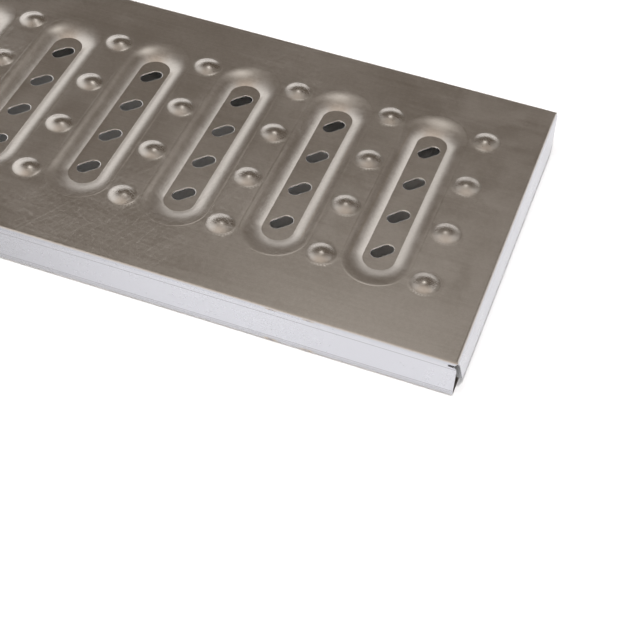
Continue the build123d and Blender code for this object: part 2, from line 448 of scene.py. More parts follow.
@dataclass(frozen=True)
class Pressing:
    """The pressed pattern: troughs with leaning slots, and studs in rows between them, in mm."""

    pitch: float = 55.0
    trough_count: int = 17
    shift: float = 2.3
    floor_half: float = 8.3
    floor_straight: float = 46.0
    ring_half: float = 18.65
    ring_straight: float = 50.8
    depth: float = 3.5
    crease_share: float = 0.03
    ring_groove: float = 0.07
    ring_groove_half: float = 0.28
    slots: int = 4
    slot_spacing: float = 27.15
    slot_half_width: float = 3.35
    slot_straight: float = 3.15
    slot_lean: float = 48.0
    rim_drop: float = 0.15
    rim_width: float = 0.5
    studs: int = 4
    stud_spacing: float = 38.2
    stud_radius: float = 8.1
    stud_height: float = 2.0
    stud_softness: float = 1.5
    stud_ring: float = 8.5
    stud_ridge: float = 0.045
    stud_ridge_half: float = 0.24
    cell_half: float = 19.1

    @property
    def trough_xs(self) -> list[float]:
        """Centre lines of the troughs."""
        return centred(self.trough_count, self.pitch)

    @property
    def stud_xs(self) -> list[float]:
        """Centre lines of the stud rows."""
        return centred(self.trough_count + 1, self.pitch)

    @property
    def slot_ys(self) -> list[float]:
        """Slot centres along a trough."""
        return centred(self.slots, self.slot_spacing, self.shift)

    @property
    def stud_ys(self) -> list[float]:
        """Stud centres along a row."""
        return centred(self.studs, self.stud_spacing, self.shift)

    def share_out(self, x: Array, y: Array) -> Array:
        """How far out a point is in a trough: 0 where the floor ends, 1 on the outer ring.

        Args:
            x: distance from the trough's centre line.
            y: distance along it from its middle.

        Returns:
            The share, negative on the floor.
        """
        dx, dy = np.abs(x), np.abs(y)
        widen = self.ring_half - self.floor_half
        lengthen = self.ring_straight - self.floor_straight
        beside = (dx - self.floor_half) / widen
        past = dy - self.floor_straight
        a = widen**2 - lengthen**2
        b = 2 * (self.floor_half * widen + past * lengthen)
        c = self.floor_half**2 - dx**2 - past**2
        around = (-b + np.sqrt(np.maximum(b * b - 4 * a * c, 0.0))) / (2 * a)
        return np.where(past <= lengthen * beside, beside, around)

    def wall_drop(self, t: Array) -> Array:
        """Share of the depth at a share t of the way out: 1 on the floor, 0 at the ring."""
        crease = self.crease_share
        return np.where(t < crease, 1 - t * t / crease, (1 - t) ** 2 / (1 - crease))

    def slot_distance(self, x: Array, y: Array) -> Array:
        """Distance outside the outline of the nearest slot of the trough at x = 0."""
        best = np.full(x.shape, FAR)
        lean = math.radians(self.slot_lean)
        for slot_y in self.slot_ys:
            u = x * math.cos(lean) + (y - slot_y) * math.sin(lean)
            v = -x * math.sin(lean) + (y - slot_y) * math.cos(lean)
            over = np.maximum(np.abs(u) - self.slot_straight, 0.0)
            best = np.minimum(best, np.hypot(over, v) - self.slot_half_width)
        return best

    def height(self, x: Array, y: Array) -> Array:
        """Height of the pressed surface over the flat deck.

        Args:
            x: places along the plank.
            y: places across it.

        Returns:
            Heights, negative in the troughs.
        """
        last = (self.trough_count - 1) / 2
        near = np.clip(np.round(x / self.pitch), -last, last) * self.pitch
        share = self.share_out(x - near, y - self.shift)
        h = -self.depth * self.wall_drop(np.clip(share, 0.0, 1.0))
        ring_off = (share - 1.0) * (self.ring_half - self.floor_half)
        h -= self.ring_groove * np.exp(-((ring_off / self.ring_groove_half) ** 2))
        edge = self.slot_distance(x - near, y)
        h -= self.rim_drop * np.clip(1 - edge / self.rim_width, 0.0, 1.0) ** 2
        row = np.clip(np.round(x / self.pitch - 0.5) + 0.5, -last - 0.5, last + 0.5) * self.pitch
        outer = (self.studs - 1) / 2
        place = np.round((y - self.shift) / self.stud_spacing + outer) - outer
        place = np.clip(place, -outer, outer)
        r = np.hypot(x - row, y - self.shift - place * self.stud_spacing)
        dome = np.maximum(1 - (r / self.stud_radius) ** 2, 0.0) ** self.stud_softness
        h += self.stud_height * dome
        h += self.stud_ridge * np.exp(-(((r - self.stud_ring) / self.stud_ridge_half) ** 2))
        return h


# Where the deck's mesh has its lines: shares of the way up a trough's wall, millimetres outside
# a slot, and radii of a stud's rings, the last but two of them on the ridge round its foot.
WALL_SHARES = (-0.02, 0.0, 0.015, 0.03, 0.06, 0.1, 0.16, 0.23, 0.3, 0.37,
               0.44, 0.51, 0.58, 0.65, 0.73, 0.82, 0.9, 0.95, 0.975, 1.0)
RIM_OFFSETS = (0.0, 0.1, 0.2, 0.32, 0.46, 0.8)
STUD_RADII = (1.2, 2.4, 3.6, 4.6, 5.5, 6.3, 7.0, 7.5, 7.85, 8.1, 8.28, 8.5, 8.75, 9.1)
STUD_SIDES = 32
STUD_MARGIN = 0.35


@dataclass
class DeckSheet:
    """The one folded sheet: deck, skirts, lips and end flanges. Lengths are in millimetres."""

    low: Vector
    high: Vector
    thickness: float = 0.8
    fold_radius: float = 2.2
    lip_width: float = 12.0
    crease_height: float = 4.6
    crease_run: float = 0.9
    flange_lift: float = 3.0
    flange_run: float = 1.5
    flange_side_gap: float = 2.4
    flange_mitre: float = 8.6
    flange_corner: float = 1.5
    skirt_setback: float = 2.2
    slit_length: float = 4.5
    slit_half: float = 0.6
    slit_offset: float = 2.9
    skirt_corner: float = 3.0
    wave_height: float = 0.12
    wave_fade: float = 12.0
    flat_border: float = 4.0
    pressing: Pressing = field(default_factory=Pressing)
    deck_step: float = 3.6
    trough_step: float = 3.2
    stud_step: float = 3.0
    ear_step: float = 0.7
    slit_step: float = 0.8
    corner_gap: float = 0.2

    def __post_init__(self) -> None:
        """Works out the folded section across the plank and the one along it."""
        self.half_length = self.high.x / MM
        self.half_width = self.high.y / MM
        self.deck_z = self.high.z / MM - self.pressing.stud_height
        bottom = self.low.z / MM
        foot = self.half_width - self.crease_run
        self.side = FoldPath(
            [(0.0, self.deck_z), (self.half_width, self.deck_z),
             (self.half_width, bottom + self.crease_height),
             (foot, bottom), (foot - self.lip_width, bottom)], self.fold_radius)
        flange_top = self.half_length - self.flange_run
        self.end = FoldPath(
            [(0.0, self.deck_z), (flange_top, self.deck_z),
             (self.half_length, bottom + self.flange_lift)], self.fold_radius)
        self.side_folds = self.side.folds()
        self.end_fold = self.end.folds()[0]
        self.skirt_end = self.half_length - self.skirt_setback
        self.flange_half = self.half_width - self.flange_side_gap

    def is_flange(self, flat: Array) -> Array:
        """True where a point of the flat pattern belongs to an end flange or its fold."""
        past_fold = np.abs(flat[:, 0]) > self.end_fold[0]
        return past_fold & (np.abs(flat[:, 1]) < self.flange_half + self.corner_gap / 2)

    def wave(self, x: Array, s: Array) -> Array:
        """Slight waviness of thin sheet, always inward, fading out towards the plank's ends."""
        a = np.sin(x / 47.0 + 1.3 * np.sin(s / 41.0) + 0.7)
        b = np.sin(s / 33.0 + 0.9 * np.sin(x / 71.0) + 2.1)
        c = np.sin(x / 19.0 + s / 27.0 + 4.0)
        fade = np.clip((self.end_fold[0] - np.abs(x)) / self.wave_fade, 0.0, 1.0)
        return -self.wave_height * fade * (0.5 + 0.2 * a + 0.2 * b + 0.1 * c)

    def fold(self, flat: Array, home: Array) -> Array:
        """Folds the flat pattern up into the plank.

        Args:
            flat: points of the flat pattern: along the plank, and across it round the folds.
            home: the points that decide which fold each one follows.

        Returns:
            The points in space.
        """
        x, s = flat[:, 0], flat[:, 1]
        flange = self.is_flange(home)
        side_point, side_out = self.side.at(np.abs(s))
        end_point, end_out = self.end.at(np.abs(x))
        placed = np.stack([x, np.sign(s) * side_point[:, 0], side_point[:, 1]], axis=1)
        end_placed = np.stack([np.sign(x) * end_point[:, 0], s, end_point[:, 1]], axis=1)
        placed[flange] = end_placed[flange]
        outward = np.stack([0 * x, np.sign(s) * side_out[:, 0], side_out[:, 1]], axis=1)
        end_outward = np.stack([np.sign(x) * end_out[:, 0], 0 * s, end_out[:, 1]], axis=1)
        outward[flange] = end_outward[flange]
        lift = self.wave(x, s)
        on_deck = np.abs(s) < self.side_folds[0][0] - self.flat_border
        lift = lift + np.where(on_deck, self.pressing.height(x, s), 0.0)
        return placed + outward * lift[:, None]

    def across(self) -> list[float]:
        """Where the pattern has a line along the plank, from the middle to a lip's edge."""
        lines = spaced(0.0, self.side_folds[0][0], self.deck_step)
        ends = [b for _, b in self.side_folds[:-1]]
        nexts = [a for a, _ in self.side_folds[1:]]
        for index, (start, end) in enumerate(self.side_folds):
            lines += spaced(start, end, FOLD_STEP)[1:]
            if index < len(nexts):
                lines += spaced(ends[index], nexts[index], self.deck_step)[1:]
        lines += spaced(self.side_folds[-1][1], self.side.length, self.deck_step)[1:]
        return lines

    def corner_outline(self) -> list[tuple[float, float]]:
        """Edge of the flat pattern round one corner, from the flange's middle to the lip's edge."""
        fold_x, flange_x, tip = self.end_fold[0], self.end_fold[1], self.end.length
        low = (tip, self.flange_half - self.flange_mitre)
        high = (flange_x, self.flange_half)
        curve = rounded((tip, 0.0), low, high, self.flange_corner, 6)
        outline = [(tip, y) for y in spaced(0.0, curve[0][1], self.deck_step)[:-1]]
        outline += curve
        outline += [tuple(p) for p in np.linspace(curve[-1], high, 8)[1:]]
        outline += [(x, self.flange_half) for x in spaced(flange_x, fold_x, FOLD_STEP)[1:]]
        outline.append((fold_x - self.corner_gap, self.flange_half + self.corner_gap / 2))
        ear = self.side_folds[0][0]
        slit = ear + self.slit_offset
        outline += [(x, ear) for x in spaced(fold_x, self.skirt_end, self.ear_step)[:-1]]
        for angle in np.linspace(0.0, (self.slit_offset - self.slit_half) / self.fold_radius, 7):
            drop = self.fold_radius * (1 - math.cos(angle))
            outline.append((self.skirt_end - drop, ear + self.fold_radius * angle))
        inner = self.skirt_end - self.slit_length + self.slit_half
        outline += [(x, slit - self.slit_half)
                    for x in spaced(outline[-1][0], inner, self.slit_step)[1:]]
        for angle in np.linspace(0.0, math.pi, 9)[1:-1]:
            outline.append((inner - self.slit_half * math.sin(angle),
                            slit - self.slit_half * math.cos(angle)))
        corner = (self.skirt_end, slit + self.slit_half)
        below = (self.skirt_end, corner[1] + 2 * self.skirt_corner)
        curve = rounded((inner, corner[1]), corner, below, self.skirt_corner, 8)
        outline += [(x, corner[1]) for x in spaced(inner, curve[0][0], self.slit_step)[:-1]]
        outline += curve
        rest = [s for s in self.across() if s > outline[-1][1] + 0.2]
        return outline + [(self.skirt_end, s) for s in rest]

    def filler(self, xs: Sequence[float], blocked: Callable[[Array], Array]) -> Array:
        """Pattern points on a plain grid, where nothing finer is.

        Args:
            xs: places along the plank.
            blocked: tells which points to leave out.

        Returns:
            The points.
        """
        half = self.across()
        lines = [-s for s in reversed(half[1:])] + half
        grid = np.array([(x, s) for x in xs for s in lines])
        return grid[~blocked(grid)]

    def trough_cell(self) -> tuple[Array, list[tuple[int, ...]]]:
        """Flat pattern of the strip that holds the trough at x = 0."""
        press = self.pressing
        pattern = FlatPattern()
        edge_xs = [-press.cell_half, press.cell_half]
        pattern.add_points(self.filler(edge_xs, nowhere))
        for share in WALL_SHARES:
            half = press.floor_half + share * (press.ring_half - press.floor_half)
            straight = press.floor_straight + share * (press.ring_straight - press.floor_straight)
            loop = stadium(half, straight, 26, self.deck_step) + (0.0, press.shift)
            pattern.add_loop(loop)
        for slot_y in press.slot_ys:
            for offset in RIM_OFFSETS:
                loop = stadium(press.slot_half_width + offset, press.slot_straight, 14, 1.5)
                pattern.add_loop(turned(loop, press.slot_lean - 90) + (0.0, slot_y))

        def blocked(grid: Array) -> Array:
            """Inside the outer ring, apart from the open floor."""
            share = press.share_out(grid[:, 0], grid[:, 1] - press.shift)
            near_slot = press.slot_distance(grid[:, 0], grid[:, 1]) < 1.8
            return ((share > -0.12) & (share < 1.06)) | ((share <= -0.12) & near_slot)

        inner = spaced(-press.cell_half, press.cell_half, self.trough_step)[1:-1]
        pattern.add_points(self.filler(inner, blocked))

        def keep(middle: Array) -> Array:
            """Everything but the slots themselves."""
            return press.slot_distance(middle[:, 0], middle[:, 1]) > 0.0

        return pattern.triangles(keep)

    def stud_rings(self, pattern: "FlatPattern", x: float) -> None:
        """Adds one row of studs to a flat pattern, as rings that start at different angles."""
        press = self.pressing
        for y in press.stud_ys:
            pattern.add_points(np.array([(x, y)]))
            for radius in STUD_RADII:
                angles = np.linspace(0.0, 2 * math.pi, STUD_SIDES + 1)[:-1] + radius
                pattern.add_points(
                    np.stack([x + radius * np.cos(angles), y + radius * np.sin(angles)], axis=1))

    def off_studs(self, grid: Array, x: float) -> Array:
        """True at points that a row of studs takes up."""
        near = np.zeros(len(grid), bool)
        for y in self.pressing.stud_ys:
            near |= np.hypot(grid[:, 0] - x, grid[:, 1] - y) < STUD_RADII[-1] + STUD_MARGIN
        return near

    def stud_cell(self) -> tuple[Array, list[tuple[int, ...]]]:
        """Flat pattern of the strip that holds one row of studs at x = 0."""
        half = (self.pressing.pitch - 2 * self.pressing.cell_half) / 2
        pattern = FlatPattern()
        pattern.add_points(self.filler([-half, half], nowhere))
        self.stud_rings(pattern, 0.0)
        inner = spaced(-half, half, self.stud_step)[1:-1]
        pattern.add_points(self.filler(inner, lambda grid: self.off_studs(grid, 0.0)))
        return pattern.triangles(lambda middle: np.ones(len(middle), bool))

    def end_cell(self) -> tuple[Array, list[tuple[int, ...]]]:
        """Flat pattern of the +X end: the last row of studs, the corners and the flange."""
        press = self.pressing
        start = press.trough_xs[-1] + press.cell_half
        row = press.stud_xs[-1]
        pattern = FlatPattern()
        pattern.add_points(self.filler([start], nowhere))
        self.stud_rings(pattern, row)
        quarter = self.corner_outline()
        outline = [(x, -s) for x, s in reversed(quarter[1:])] + quarter
        pattern.add_chain(np.array(outline))
        shape = np.array([(start - 1.0, -self.side.length - 1.0), *outline,
                          (start - 1.0, self.side.length + 1.0)])

        def blocked(grid: Array) -> Array:
            """On a stud, or outside or close to the sheet's edge."""
            outside = ~inside_polygon(grid, shape)
            gap = distance_to_chain(grid, np.array(outline))
            return outside | (gap < 0.25) | self.off_studs(grid, row)

        xs = spaced(start, self.end_fold[0], self.trough_step)[1:]
        xs += spaced(self.end_fold[0], self.end_fold[1], FOLD_STEP)[1:]
        xs += spaced(self.end_fold[1], self.end.length, self.deck_step)[1:]
        pattern.add_points(self.filler(xs, blocked))

        def keep(middle: Array) -> Array:
            """Inside the sheet's edge."""
            return inside_polygon(middle, shape)

        return pattern.triangles(keep)

    def build(self) -> bpy.types.Object:
        """Joins the strips into one closed, folded sheet.

        Returns:
            The sheet.
        """
        press = self.pressing
        joined = Joiner()
        trough = self.trough_cell()
        studs = self.stud_cell()
        end = self.end_cell()
        for x in press.trough_xs:
            joined.add(trough[0] + (x, 0.0), trough[1])
        for x in press.stud_xs[1:-1]:
            joined.add(studs[0] + (x, 0.0), studs[1])
        joined.add(end[0], end[1])
        joined.add(end[0] * (-1.0, 1.0), [tuple(reversed(face)) for face in end[1]])
        sheet = SheetMesh("deck_sheet", np.array(joined.points), joined.faces,
                          self.thickness, self.fold)
        return sheet.build()


def rounded(before: Sequence[float], corner: Sequence[float], after: Sequence[float],
            radius: float, steps: int) -> list[tuple[float, float]]:
    """Points of the arc that rounds a corner.

    Args:
        before: a point on the line into the corner.
        corner: the sharp corner.
        after: a point on the line out of it.
        radius: the arc's radius.
        steps: pieces in the arc.

    Returns:
        The arc's points, both ends included.
    """
    corner = np.array(corner, float)
    back = np.array(before, float) - corner
    onward = np.array(after, float) - corner
    back /= np.linalg.norm(back)
    onward /= np.linalg.norm(onward)
    opening = math.acos(float(np.clip(back @ onward, -1.0, 1.0)))
    setback = radius / math.tan(opening / 2)
    middle = (back + onward) / np.linalg.norm(back + onward)
    centre = corner + middle * radius / math.sin(opening / 2)
    start = corner + back * setback - centre
    side = math.copysign(1.0, -(back[0] * onward[1] - back[1] * onward[0]))
    sweep = math.degrees(side * (math.pi - opening))
    return [tuple(centre + turned(start, sweep * i / steps)) for i in range(steps + 1)]


def nowhere(points: Array) -> Array:
    """False for every point."""
    return np.zeros(len(points), bool)


def inside_polygon(points: Array, polygon: Array) -> Array:
    """Which points lie inside a closed outline."""
    inside = np.zeros(len(points), bool)
    x, y = points[:, 0], points[:, 1]
    for (x0, y0), (x1, y1) in zip(polygon, np.roll(polygon, -1, axis=0)):
        if y0 == y1:
            continue
        crosses = (y0 > y) != (y1 > y)
        inside ^= crosses & (x < (x1 - x0) * (y - y0) / (y1 - y0) + x0)
    return inside


def distance_to_chain(points: Array, chain: Array) -> Array:
    """Distance from each point to the nearest piece of an open chain."""
    best = np.full(len(points), FAR)
    for a, b in zip(chain, chain[1:]):
        run = b - a
        t = np.clip(((points - a) @ run) / max(float(run @ run), 1e-12), 0.0, 1.0)
        best = np.minimum(best, np.linalg.norm(points - (a + t[:, None] * run), axis=1))
    return best


class FlatPattern:
    """Points and lines of a flat pattern, joined into triangles."""

    def __init__(self) -> None:
        """Starts empty."""
        self.points: list[tuple[float, float]] = []
        self.edges: list[tuple[int, int]] = []

    def add_points(self, points: Array) -> None:
        """Adds loose points."""
        self.points += [tuple(p) for p in points]

    def add_chain(self, points: Array) -> None:
        """Adds an open line that triangles may not cross."""
        first = len(self.points)
        self.add_points(points)
        self.edges += [(first + i, first + i + 1) for i in range(len(points) - 1)]

    def add_loop(self, points: Array) -> None:
        """Adds a closed line that triangles may not cross."""
        first = len(self.points)
        self.add_chain(points)
        self.edges.append((first + len(points) - 1, first))

    def triangles(self, keep: Callable[[Array], Array]) -> tuple[Array, list[tuple[int, ...]]]:
        """Triangulates the pattern.

        Args:
            keep: tells from their middles which triangles are sheet.

        Returns:
            The points, and the kept triangles, all counter-clockwise.
        """
        made = delaunay_2d_cdt([Vector(p) for p in self.points], self.edges, [], 0, 1e-5, False)
        points = np.array([tuple(p) for p in made[0]])
        faces = np.array(made[2])
        middle = points[faces].mean(axis=1)
        a, b, c = (points[faces[:, i]] for i in range(3))
        area = (b[:, 0] - a[:, 0]) * (c[:, 1] - a[:, 1]) - (b[:, 1] - a[:, 1]) * (c[:, 0] - a[:, 0])
        chosen = keep(middle) & (np.abs(area) > 1e-7)
        ordered = np.where((area > 0)[:, None], faces, faces[:, ::-1])
        return points, [tuple(int(i) for i in face) for face in ordered[chosen]]


class Joiner:
    """Joins flat strips where their edge points meet."""

    def __init__(self) -> None:
        """Starts empty."""
        self.points: list[tuple[float, float]] = []
        self.faces: list[tuple[int, ...]] = []
        self.known: dict[tuple[int, int], int] = {}

    def add(self, points: Array, faces: Iterable[tuple[int, ...]]) -> None:
        """Adds one strip."""
        index = []
        for x, y in points.tolist():
            key = (round(x * 1000), round(y * 1000))
            if key not in self.known:
                self.known[key] = len(self.points)
                self.points.append((x, y))
            index.append(self.known[key])
        self.faces += [tuple(index[i] for i in face) for face in faces]


# ------------------------------------------------------------------ ribs and welds
@dataclass
class CrossRib:
    """One folded channel across the underside. Lengths are in millimetres."""

    number: int
    low: Vector
    high: Vector
    thickness: float = 1.2
    fold_radius: float = 2.0
    notch: float = 2.4
    clearance: float = 0.1
    step: float = 4.0
    section_step: float = 2.0
    edge_gap: float = 0.3

    def __post_init__(self) -> None:
        """Works out the rib's middle, its section and its notch."""
        self.x = (self.low.x + self.high.x) / 2 / MM
        self.half_width = (self.high.x - self.low.x) / 2 / MM
        self.half_length = self.high.y / MM - self.clearance
        self.top = self.high.z / MM - self.clearance
        self.bottom = self.low.z / MM
        self.section = FoldPath([(0.0, self.top), (self.half_width, self.top),
                                 (self.half_width, self.bottom)], self.fold_radius)
        self.notch_end = self.section.folds()[0][1] + self.notch - self.fold_radius

    def fold(self, flat: Array, home: Array) -> Array:
        """Folds the flat strip into the channel.

        Args:
            flat: points of the strip: round its section, and along it.
            home: the points that decide which fold each one follows; not needed here.

        Returns:
            The points in space.
        """
        s, y = flat[:, 0], flat[:, 1]
        point, _ = self.section.at(np.abs(s))
        return np.stack([self.x + np.sign(s) * point[:, 0], y, point[:, 1]], axis=1)

    def build(self) -> bpy.types.Object:
        """Makes the channel with its notched ends.

        Returns:
            The rib.
        """
        bend = self.section.folds()[0]
        short = self.half_length - self.notch
        lines = spaced(0.0, bend[0], self.section_step) + spaced(*bend, FOLD_STEP)[1:]
        lines += spaced(self.notch_end, self.section.length, self.section_step)
        half = sorted(set(lines))
        ss = [-s for s in reversed(half[1:])] + half
        corner = [(s, self.half_length) for s in half if s > self.notch_end + 0.01]
        quarter = [(s, short) for s in half if s < self.notch_end - 0.01]
        quarter += [(self.notch_end, short), (self.notch_end, self.half_length), *corner]
        down = [(self.section.length, y) for y in spaced(self.half_length, 0.0, self.step)[1:]]
        right = quarter + down
        loop = right + [(s, -y) for s, y in reversed(right[:-1])]
        loop += [(-s, -y) for s, y in right[1:]] + [(-s, y) for s, y in reversed(right[1:-1])]
        outline = np.array(loop)
        pattern = FlatPattern()
        pattern.add_loop(outline)
        closed = np.vstack([outline, outline[:1]])
        grid = np.array([(s, y) for s in ss for y in spaced(-short, short, self.step)[1:-1]])
        free = inside_polygon(grid, outline) & (distance_to_chain(grid, closed) > self.edge_gap)
        pattern.add_points(grid[free])
        points, faces = pattern.triangles(lambda middle: inside_polygon(middle, outline))
        sheet = SheetMesh(f"rib_channel_{self.number}", points, faces, self.thickness, self.fold)
        return sheet.build()


@dataclass
class WeldBeads:
    """All the welds of one rib: upright beads in its corners, stitches along its web."""

    rib: CrossRib
    pressing: Pressing
    leg: float = 2.5
    bulge: float = 0.2
    ripple: float = 0.16
    ripple_pitch: float = 1.35
    ripple_lag: float = 0.55
    thin_leg: float = 0.35
    station: float = 0.25
    end_margin: float = 1.5
    stitch_length: float = 12.0
    stitch_inset: float = 1.0
    arc_points: int = 7
    points: list[Vector] = field(default_factory=list)
    faces: list[tuple[int, ...]] = field(default_factory=list)

    def bead(self, corner: Vector, a: Vector, b: Vector, axis: Vector, length: float,
             inset: float = 0.0) -> None:
        """Lays one rippled fillet bead.

        Args:
            corner: where the two plates meet, at the bead's start.
            a: direction along the first plate.
            b: direction along the second plate.
            axis: direction of the bead.
            length: its length.
            inset: how far its root goes back under the first plate.
        """
        flip = a.cross(b).dot(axis) < 0
        count = round(length / self.station)
        first = len(self.points)
        ring = self.arc_points + 1
        for i in range(count + 1):
            t = length * i / count
            end = min(t, length - t) / self.leg
            swell = math.sqrt(max(0.02, 1 - max(0.0, 1 - end) ** 2))
            leg = self.leg * (self.thin_leg + (1 - self.thin_leg) * swell)
            phase = t / self.ripple_pitch % 1.0
            bulge = self.bulge * swell + self.ripple * (phase**0.6 * (1 - phase) * 2 - 0.5) * swell
            self.points.append(corner + axis * t - a * inset)
            for k in range(self.arc_points):
                angle = math.pi / 2 * k / (self.arc_points - 1)
                lag = self.ripple_lag * math.sin(2 * angle)
                reach = leg / (math.cos(angle) + math.sin(angle)) + bulge * math.sin(2 * angle)
                self.points.append(corner + axis * min(length, max(0.0, t + lag * swell))
                                   + a * (reach * math.cos(angle)) + b * (reach * math.sin(angle)))
        made = [tuple(first + k for k in reversed(range(ring))),
                tuple(first + count * ring + k for k in range(ring))]
        for i in range(count):
            for k in range(ring):
                near, far = first + i * ring, first + (i + 1) * ring
                made.append((near + k, near + (k + 1) % ring, far + (k + 1) % ring, far + k))
        self.faces += [tuple(reversed(face)) for face in made] if flip else made

    def build(self) -> bpy.types.Object:
        """Lays every bead of the rib.

        Returns:
            The beads as one object.
        """
        rib = self.rib
        z = rib.bottom + self.end_margin
        height = rib.top - rib.fold_radius - self.end_margin - z
        up, along = Vector((0.0, 0.0, 1.0)), Vector((0.0, 1.0, 0.0))
        rows = centred(3, self.pressing.stud_spacing, self.pressing.shift)
        for side_x in (1.0, -1.0):
            out = Vector((side_x, 0.0, 0.0))
            for side_y in (1.0, -1.0):
                corner = Vector((rib.x + side_x * rib.half_width, side_y * rib.half_length, z))
                self.bead(corner, out, Vector((0.0, -side_y, 0.0)), up, height)
            for y in rows:
                start = y - self.stitch_length / 2
                corner = Vector((rib.x + side_x * rib.half_width, start, rib.top))
                self.bead(corner, out, -up, along, self.stitch_length, self.stitch_inset)
        mesh = bpy.data.meshes.new(f"rib_weld_beads_{rib.number}")
        mesh.from_pydata([tuple(p * MM) for p in self.points], [], self.faces)
        mesh.shade_smooth()
        return linked(mesh.name, mesh)


# ------------------------------------------------------------------ finishes
class Grain(Enum):
    """Which way the sheet ran through the mill's rollers."""

    ALONG = (14.0, 900.0, 900.0)
    ACROSS = (900.0, 14.0, 900.0)


